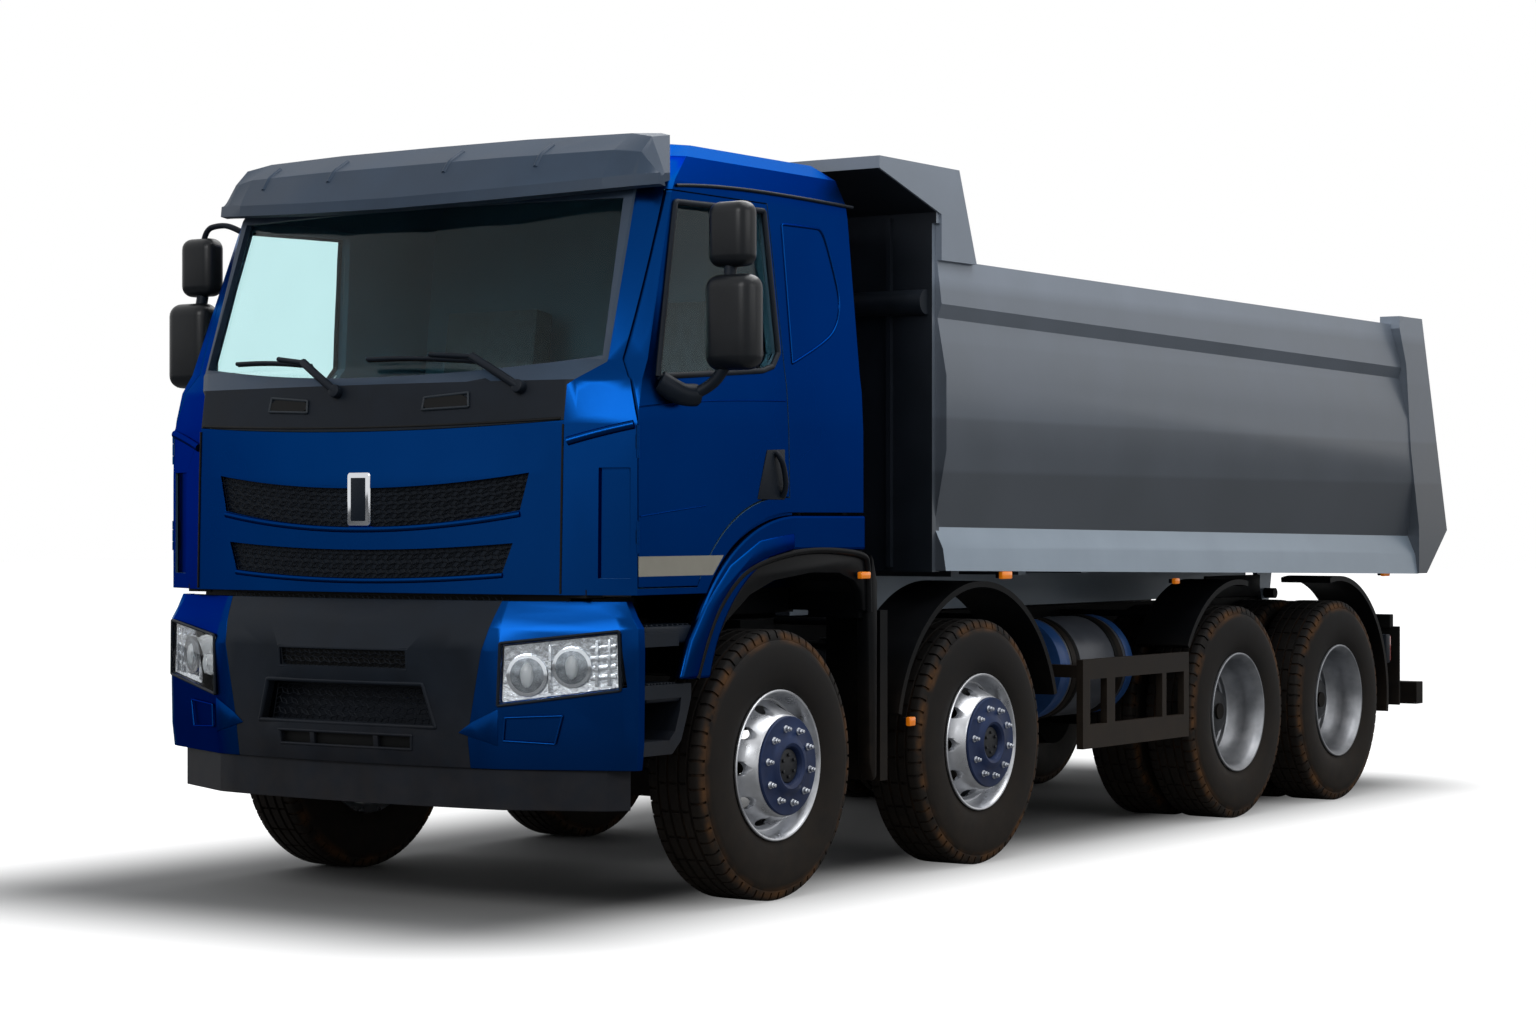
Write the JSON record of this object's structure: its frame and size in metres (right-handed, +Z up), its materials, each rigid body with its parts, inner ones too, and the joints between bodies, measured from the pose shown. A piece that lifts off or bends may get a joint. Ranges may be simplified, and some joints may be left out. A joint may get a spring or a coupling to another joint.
{
  "type": "dump truck",
  "caption": "Rigid dump truck with a tilting cab, opening doors, steered front axles, twin rear wheels and a rear-tipping steel body with a hinged tailgate.",
  "frame": {"origin": "on the ground under the middle of the truck's overall length and width", "axes": "+X forward, +Y to the truck's left, +Z up"},
  "size_m": [8.44, 3.171, 3.154],
  "materials": {
    "blue_paint": "gloss metallic",
    "slate_paint": "satin",
    "chassis_paint": "satin",
    "black_plastic": "textured matte",
    "visor_plastic": "satin",
    "guard_paint": "satin",
    "tyre": "matte",
    "rim_metal": "satin",
    "chrome": "polished",
    "glass": "clear",
    "lamp_glass": "clear",
    "interior": "woven",
    "interior_plastic": "matte",
    "cast": "rough"
  },
  "bodies": {
    "chassis": {"frame": "chassis_paint", "engine": "cast", "steer_axles": "chassis_paint", "drive_axles": "chassis_paint", "bumper": "blue_paint", "bumper_center": "black_plastic", "headlamps": "lamp_glass", "steps": "black_plastic", "front_arches": "blue_paint", "mudguards": "black_plastic", "tanks": "chassis_paint", "side_guards": "guard_paint", "rear_bumper": "chassis_paint"},
    "cab": {"cab_shell": "blue_paint", "front_panel": "blue_paint", "grille": "black_plastic", "cowl": "black_plastic", "windshield": "glass", "roof_visor": "visor_plastic", "dashboard": "interior_plastic", "seats": "interior"},
    "dump_body": {"dump_body": "slate_paint"},
    "tailgate": {"tailgate": "slate_paint"},
    "hoist_tube": {"hoist_tube": "chassis_paint"},
    "hoist_stage_1": {"hoist_stage_1": "chrome"},
    "hoist_stage_2": {"hoist_stage_2": "chrome"},
    "hoist_rod": {"hoist_rod": "chrome"},
    "door_left": {"door_left": "blue_paint", "door_glass_left": "glass", "mirror_left": "black_plastic"},
    "door_right": {"door_right": "blue_paint", "door_glass_right": "glass", "mirror_right": "black_plastic"},
    "knuckle_front_left": {"knuckle_front_left": "cast"},
    "wheel_front_left": {"tyre_front_left": "tyre", "rim_front_left": "rim_metal"},
    "knuckle_front_right": {"knuckle_front_right": "cast"},
    "wheel_front_right": {"tyre_front_right": "tyre", "rim_front_right": "rim_metal"},
    "knuckle_second_left": {"knuckle_second_left": "cast"},
    "wheel_second_left": {"tyre_second_left": "tyre", "rim_second_left": "rim_metal"},
    "knuckle_second_right": {"knuckle_second_right": "cast"},
    "wheel_second_right": {"tyre_second_right": "tyre", "rim_second_right": "rim_metal"},
    "wheel_third_left": {"tyre_third_left": "tyre", "rim_third_left": "rim_metal"},
    "wheel_third_right": {"tyre_third_right": "tyre", "rim_third_right": "rim_metal"},
    "wheel_fourth_left": {"tyre_fourth_left": "tyre", "rim_fourth_left": "rim_metal"},
    "wheel_fourth_right": {"tyre_fourth_right": "tyre", "rim_fourth_right": "rim_metal"}
  },
  "joints": [
    {"name": "steer_front_left", "type": "hinge", "parent": "chassis", "child": "knuckle_front_left", "pos_m": [2.92, 0.925, 0.56], "axis": [0, 0, 1], "range_deg": [-32, 32]},
    {"name": "spin_front_left", "type": "hinge", "parent": "knuckle_front_left", "child": "wheel_front_left", "pos_m": [2.92, 0.925, 0.56], "axis": [0, 1, 0], "continuous": true},
    {"name": "steer_front_right", "type": "hinge", "parent": "chassis", "child": "knuckle_front_right", "pos_m": [2.92, -0.925, 0.56], "axis": [0, 0, 1], "range_deg": [-32.01, 32.01]},
    {"name": "spin_front_right", "type": "hinge", "parent": "knuckle_front_right", "child": "wheel_front_right", "pos_m": [2.92, -0.925, 0.56], "axis": [0, 1, 0], "continuous": true},
    {"name": "steer_second_left", "type": "hinge", "parent": "chassis", "child": "knuckle_second_left", "pos_m": [1.27, 0.925, 0.56], "axis": [0, 0, 1], "range_deg": [-22.01, 22.01]},
    {"name": "spin_second_left", "type": "hinge", "parent": "knuckle_second_left", "child": "wheel_second_left", "pos_m": [1.27, 0.925, 0.56], "axis": [0, 1, 0], "continuous": true},
    {"name": "steer_second_right", "type": "hinge", "parent": "chassis", "child": "knuckle_second_right", "pos_m": [1.27, -0.925, 0.56], "axis": [0, 0, 1], "range_deg": [-22.01, 22.01]},
    {"name": "spin_second_right", "type": "hinge", "parent": "knuckle_second_right", "child": "wheel_second_right", "pos_m": [1.27, -0.925, 0.56], "axis": [0, 1, 0], "continuous": true},
    {"name": "spin_third_left", "type": "hinge", "parent": "chassis", "child": "wheel_third_left", "pos_m": [-1.405, 0.93, 0.56], "axis": [0, 1, 0], "continuous": true},
    {"name": "spin_third_right", "type": "hinge", "parent": "chassis", "child": "wheel_third_right", "pos_m": [-1.405, -0.93, 0.56], "axis": [0, 1, 0], "continuous": true},
    {"name": "spin_fourth_left", "type": "hinge", "parent": "chassis", "child": "wheel_fourth_left", "pos_m": [-2.695, 0.93, 0.56], "axis": [0, 1, 0], "continuous": true},
    {"name": "spin_fourth_right", "type": "hinge", "parent": "chassis", "child": "wheel_fourth_right", "pos_m": [-2.695, -0.93, 0.56], "axis": [0, 1, 0], "continuous": true},
    {"name": "cab_tilt", "type": "hinge", "parent": "chassis", "child": "cab", "pos_m": [4, 0, 0.78], "axis": [0, 1, 0], "range_deg": [0, 50]},
    {"name": "door_left_hinge", "type": "hinge", "parent": "cab", "child": "door_left", "pos_m": [3.889, 1.2505, 1.7], "axis": [0, 0, 1], "range_deg": [-70, 0]},
    {"name": "door_right_hinge", "type": "hinge", "parent": "cab", "child": "door_right", "pos_m": [3.889, -1.2505, 1.7], "axis": [0, 0, -1], "range_deg": [-70, 0]},
    {"name": "bed_tilt", "type": "hinge", "parent": "chassis", "child": "dump_body", "pos_m": [-3.38, 0, 1.14], "axis": [0, -1, 0], "range_deg": [0, 45]},
    {"name": "tailgate_hinge", "type": "hinge", "parent": "dump_body", "child": "tailgate", "pos_m": [-3.73, 0, 2.718], "axis": [0, 1, 0], "range_deg": [0, 60]},
    {"name": "hoist_swing", "type": "hinge", "parent": "dump_body", "child": "hoist_tube", "pos_m": [1.87, 0, 1.35], "axis": [0, 1, 0], "range_deg": [0, 22.44]},
    {"name": "hoist_stage_1_slide", "type": "slide", "parent": "hoist_tube", "child": "hoist_stage_1", "axis": [0, 0, -1], "range_m": [0, 1.3296]},
    {"name": "hoist_stage_2_slide", "type": "slide", "parent": "hoist_stage_1", "child": "hoist_stage_2", "axis": [0, 0, -1], "range_m": [0, 1.3296]},
    {"name": "hoist_rod_slide", "type": "slide", "parent": "hoist_stage_2", "child": "hoist_rod", "axis": [0, 0, -1], "range_m": [0, 1.3296]}
  ],
  "couplings": [
    {"joint": "steer_front_right", "follows": "steer_front_left", "ratio": 1},
    {"joint": "steer_second_left", "follows": "steer_front_left", "ratio": 0.6875},
    {"joint": "steer_second_right", "follows": "steer_front_left", "ratio": 0.6875},
    {"joint": "hoist_swing", "follows": "bed_tilt", "ratio": 0.49834},
    {"joint": "hoist_stage_1_slide", "follows": "bed_tilt", "m_per_rad": 1.6923},
    {"joint": "hoist_stage_2_slide", "follows": "bed_tilt", "m_per_rad": 1.6923},
    {"joint": "hoist_rod_slide", "follows": "bed_tilt", "m_per_rad": 1.6923}
  ]
}
